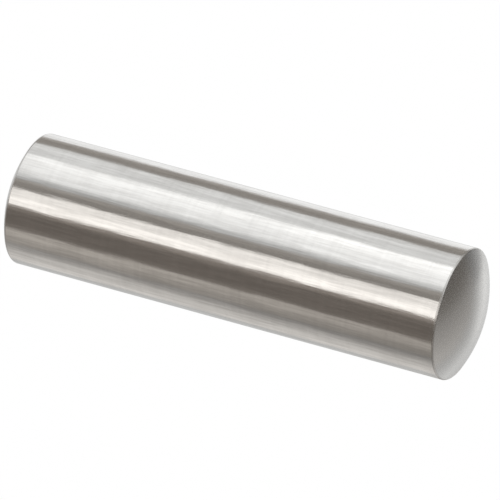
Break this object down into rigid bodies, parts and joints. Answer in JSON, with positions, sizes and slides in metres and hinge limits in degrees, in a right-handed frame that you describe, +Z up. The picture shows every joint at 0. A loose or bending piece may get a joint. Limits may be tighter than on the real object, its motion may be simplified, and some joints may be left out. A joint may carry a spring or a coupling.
{
  "type": "dowel pin",
  "caption": "Solid cylindrical locating pin with a ground wall and a shallow spherical crown on each end.",
  "frame": {"origin": "on the pin's axis at mid-length", "axes": "+X along the pin's axis, out of one end; +Z up, with the pin lying level; both ends and all directions round the axis are alike"},
  "size_m": [0.03, 0.008, 0.008],
  "materials": {
    "ground_steel": "ground bright, with satin crowns"
  },
  "bodies": {
    "root": {"dowel_pin": "ground_steel"}
  },
  "joints": []
}
